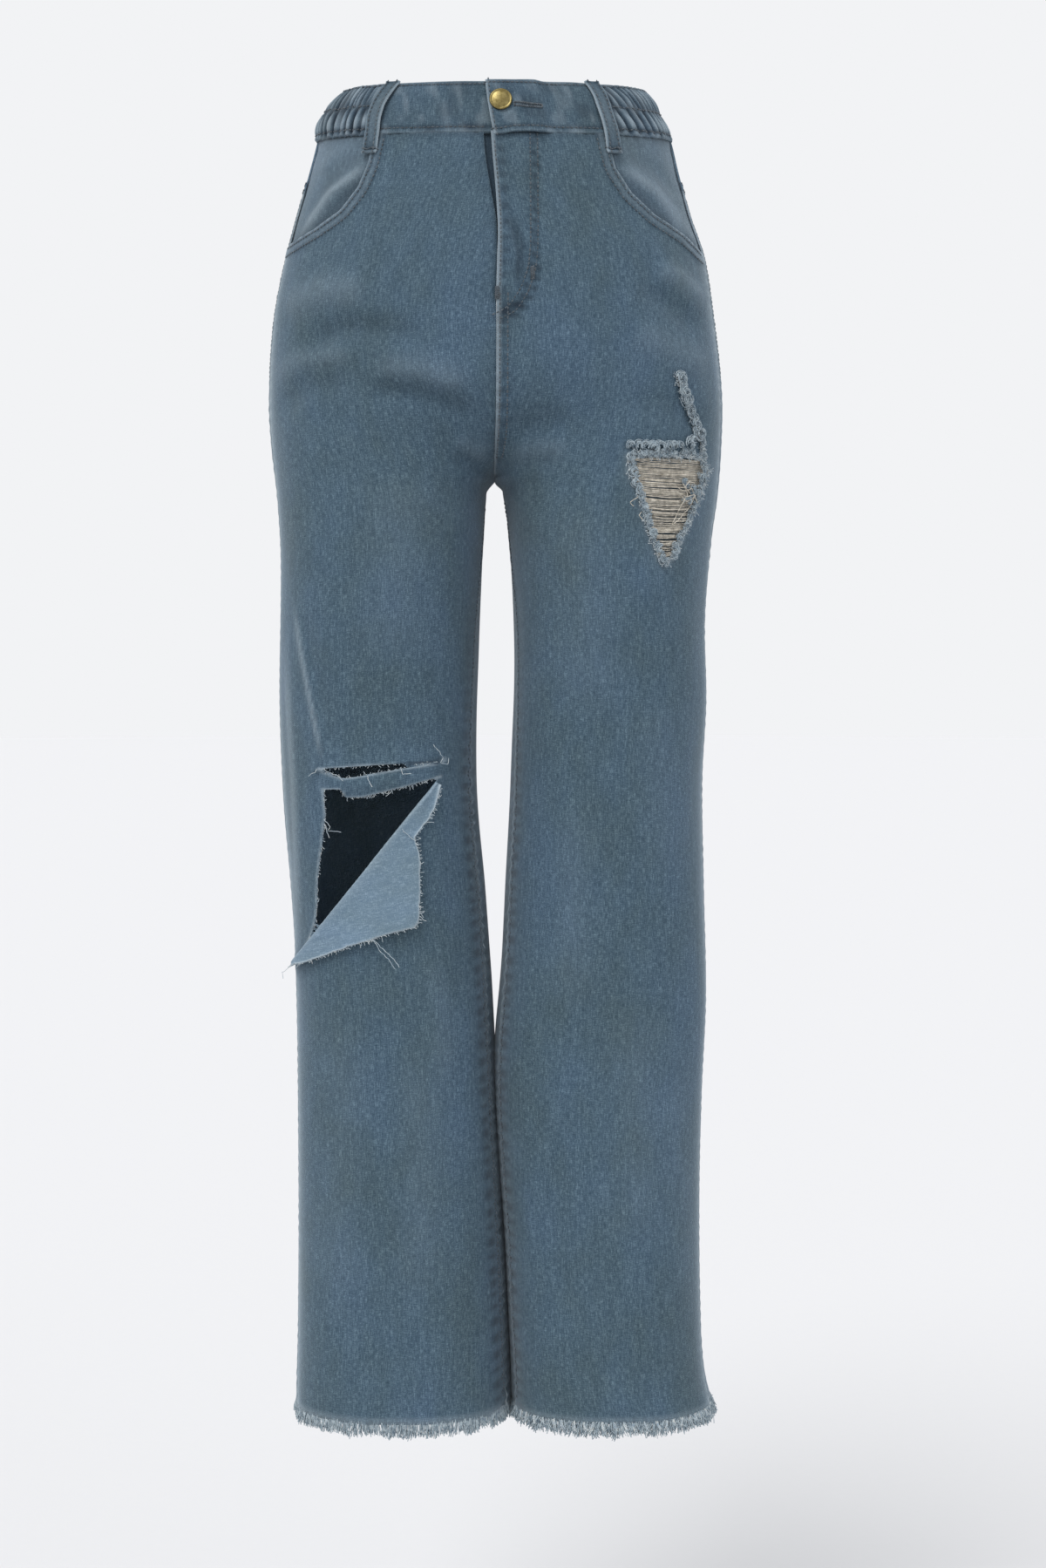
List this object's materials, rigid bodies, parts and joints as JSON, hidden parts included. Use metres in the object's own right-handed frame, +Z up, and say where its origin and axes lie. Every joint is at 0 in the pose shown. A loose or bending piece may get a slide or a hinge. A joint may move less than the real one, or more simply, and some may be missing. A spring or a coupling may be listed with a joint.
{
  "type": "ripped jeans",
  "caption": "High-waisted straight-leg denim jeans, worn and hollow, with a torn thigh, a torn knee with a turned-down flap, elastic waist sides and frayed hems.",
  "frame": {"origin": "middle of the waist opening, halfway up the waistband, where the wearer's waist holds the garment up", "axes": "+Z up the legs to the waist, -Y to the garment's front, +X to the wearer's left"},
  "size_m": [0.3508, 0.2329, 1.0408],
  "materials": {
    "denim": "washed mid-blue cotton twill with a little stretch, matt, with pale slubs and worn edges",
    "denim_reverse": "the paler wrong side of the same denim, matt",
    "cotton_thread": "undyed and half-dyed cotton yarn, frayed, matt",
    "antique_brass": "antique brass, softly polished"
  },
  "bodies": {
    "root": {"front_right": "denim", "front_left": "denim", "back_right": "denim", "back_left": "denim", "yoke_right": "denim", "yoke_left": "denim", "pocket_facing_right": "denim", "pocket_facing_left": "denim", "fly_shield": "denim", "band_front_right": "denim", "band_front_left": "denim", "band_elastic_right": "denim", "band_elastic_left": "denim", "band_back": "denim", "belt_loop_front_right": "denim", "belt_loop_front_left": "denim", "belt_loop_back_right": "denim", "belt_loop_back_left": "denim", "belt_loop_back_centre": "denim", "button": "antique_brass", "knee_flap": "denim_reverse", "hem_fringe_right": "cotton_thread", "hem_fringe_left": "cotton_thread"}
  },
  "joints": []
}
